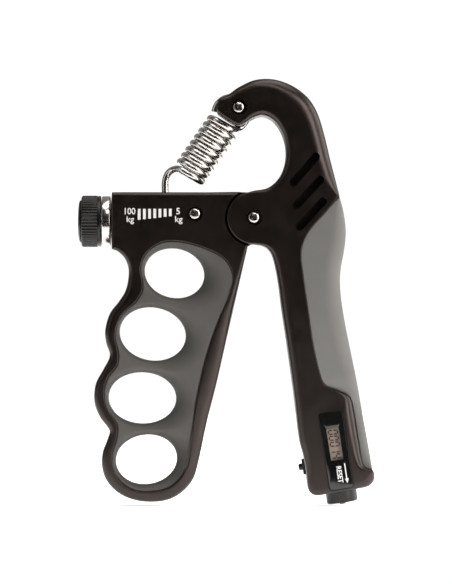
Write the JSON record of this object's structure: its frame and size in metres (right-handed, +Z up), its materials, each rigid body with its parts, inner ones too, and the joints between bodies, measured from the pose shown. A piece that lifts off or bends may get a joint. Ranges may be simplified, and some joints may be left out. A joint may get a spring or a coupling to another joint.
{
  "type": "hand grip strengthener",
  "caption": "Sprung hand grip trainer: ringed finger handle and padded palm handle on one pivot, knob-adjusted tension spring, squeeze counter in the palm handle.",
  "frame": {"origin": "middle of the web between the second and third finger rings, at mid-thickness, where a hand holds it", "axes": "+X from the fingers to the palm, +Y from the front face to the back, +Z up to the horn"},
  "size_m": [0.1162, 0.021, 0.1668],
  "materials": {
    "black_shell": "satin",
    "knob_plastic": "satin",
    "finger_rubber": "matte",
    "pad_rubber": "matte",
    "nylon": "matte",
    "chrome": "polished",
    "nickel": "polished",
    "steel": "brushed",
    "brass": "machined",
    "gloss_black": "gloss",
    "lcd": "gloss",
    "board": "satin"
  },
  "bodies": {
    "finger_handle": {"finger_frame": "black_shell", "finger_grip_insert": "finger_rubber", "adjuster_ferrule": "chrome", "thrust_washer": "nylon", "pivot_bush": "brass", "stop_rivet": "nickel"},
    "adjuster_knob": {"knob": "knob_plastic", "knob_cap": "knob_plastic", "knob_screw": "steel", "lead_screw": "steel", "retaining_clip": "steel"},
    "spring_carriage": {"carriage_block": "nylon", "brass_nut": "brass", "hook_pin": "steel"},
    "hook_swivel": {"hook_sleeve": "steel"},
    "spring_lower": {"spring_hook_end": "chrome"},
    "spring_centre": {"spring_middle": "chrome"},
    "spring_upper": {"spring_loop_end": "chrome"},
    "palm_handle": {"palm_frame": "black_shell", "palm_grip_pad": "pad_rubber", "pivot_rivet": "nickel", "spring_anchor_rivet": "nickel", "hinge_washer_front": "nylon", "hinge_washer_rear": "nylon", "counter_window": "gloss_black", "lcd_panel": "lcd", "counter_board": "board", "button_cell": "steel", "battery_clip": "steel", "count_switch": "gloss_black", "reset_switch": "gloss_black", "plunger_bezel": "nickel", "rear_cover": "black_shell", "cover_screw_left": "steel", "cover_screw_right": "steel"},
    "step_plunger": {"count_plunger": "black_shell"},
    "zero_button": {"reset_button": "knob_plastic"}
  },
  "joints": [
    {"name": "palm_squeeze", "type": "hinge", "parent": "finger_handle", "child": "palm_handle", "pos_m": [0.0415, 0, 0.0582], "axis": [0, 1, 0], "range_deg": [0, 22.5], "stiffness_Nm_per_rad": 4, "springref_deg": -20.05},
    {"name": "knob_turn", "type": "hinge", "parent": "finger_handle", "child": "adjuster_knob", "pos_m": [0.0415, 0, 0.0569], "axis": [1, 0, 0], "range_deg": [0, 2880]},
    {"name": "carriage_travel", "type": "slide", "parent": "finger_handle", "child": "spring_carriage", "axis": [-1, 0, 0], "range_m": [0, 0.01]},
    {"name": "hook_swing_adjust", "type": "hinge", "parent": "finger_handle", "child": "hook_swivel", "pos_m": [0.0059, 0, 0.12569], "axis": [0, 1, 0], "range_deg": [0, 9.56]},
    {"name": "hook_swing_squeeze", "type": "hinge", "parent": "hook_swivel", "child": "spring_lower", "pos_m": [0.0109, 0, 0.0658], "axis": [0, 1, 0], "range_deg": [0, 15.59], "deforming": ["spring_hook_end"]},
    {"name": "stretch_adjust", "type": "slide", "parent": "spring_lower", "child": "spring_centre", "axis": [0.5696, 0, 0.8219], "range_m": [0, 0.00639], "deforming": ["spring_middle"]},
    {"name": "stretch_squeeze", "type": "slide", "parent": "spring_centre", "child": "spring_upper", "axis": [0.5696, 0, 0.8219], "range_m": [0, 0.01085], "deforming": ["spring_loop_end"]},
    {"name": "plunger_press", "type": "slide", "parent": "palm_handle", "child": "step_plunger", "axis": [0.9885, 0, 0.1513], "range_m": [0, 0.0012], "stiffness_N_per_m": 250, "springref_m": -0.0006},
    {"name": "reset_press", "type": "slide", "parent": "palm_handle", "child": "zero_button", "axis": [-0.1513, 0, 0.9885], "range_m": [0, 0.0012], "stiffness_N_per_m": 400, "springref_m": -0.0006}
  ],
  "couplings": [
    {"joint": "knob_turn", "follows": "carriage_travel", "rad_per_m": 5026.5},
    {"joint": "hook_swing_adjust", "follows": "carriage_travel", "rad_per_m": 16.658},
    {"joint": "stretch_adjust", "follows": "carriage_travel", "ratio": 0.63819},
    {"joint": "hook_swing_squeeze", "follows": "palm_squeeze", "ratio": 0.69172},
    {"joint": "stretch_squeeze", "follows": "palm_squeeze", "m_per_rad": 0.027568}
  ]
}
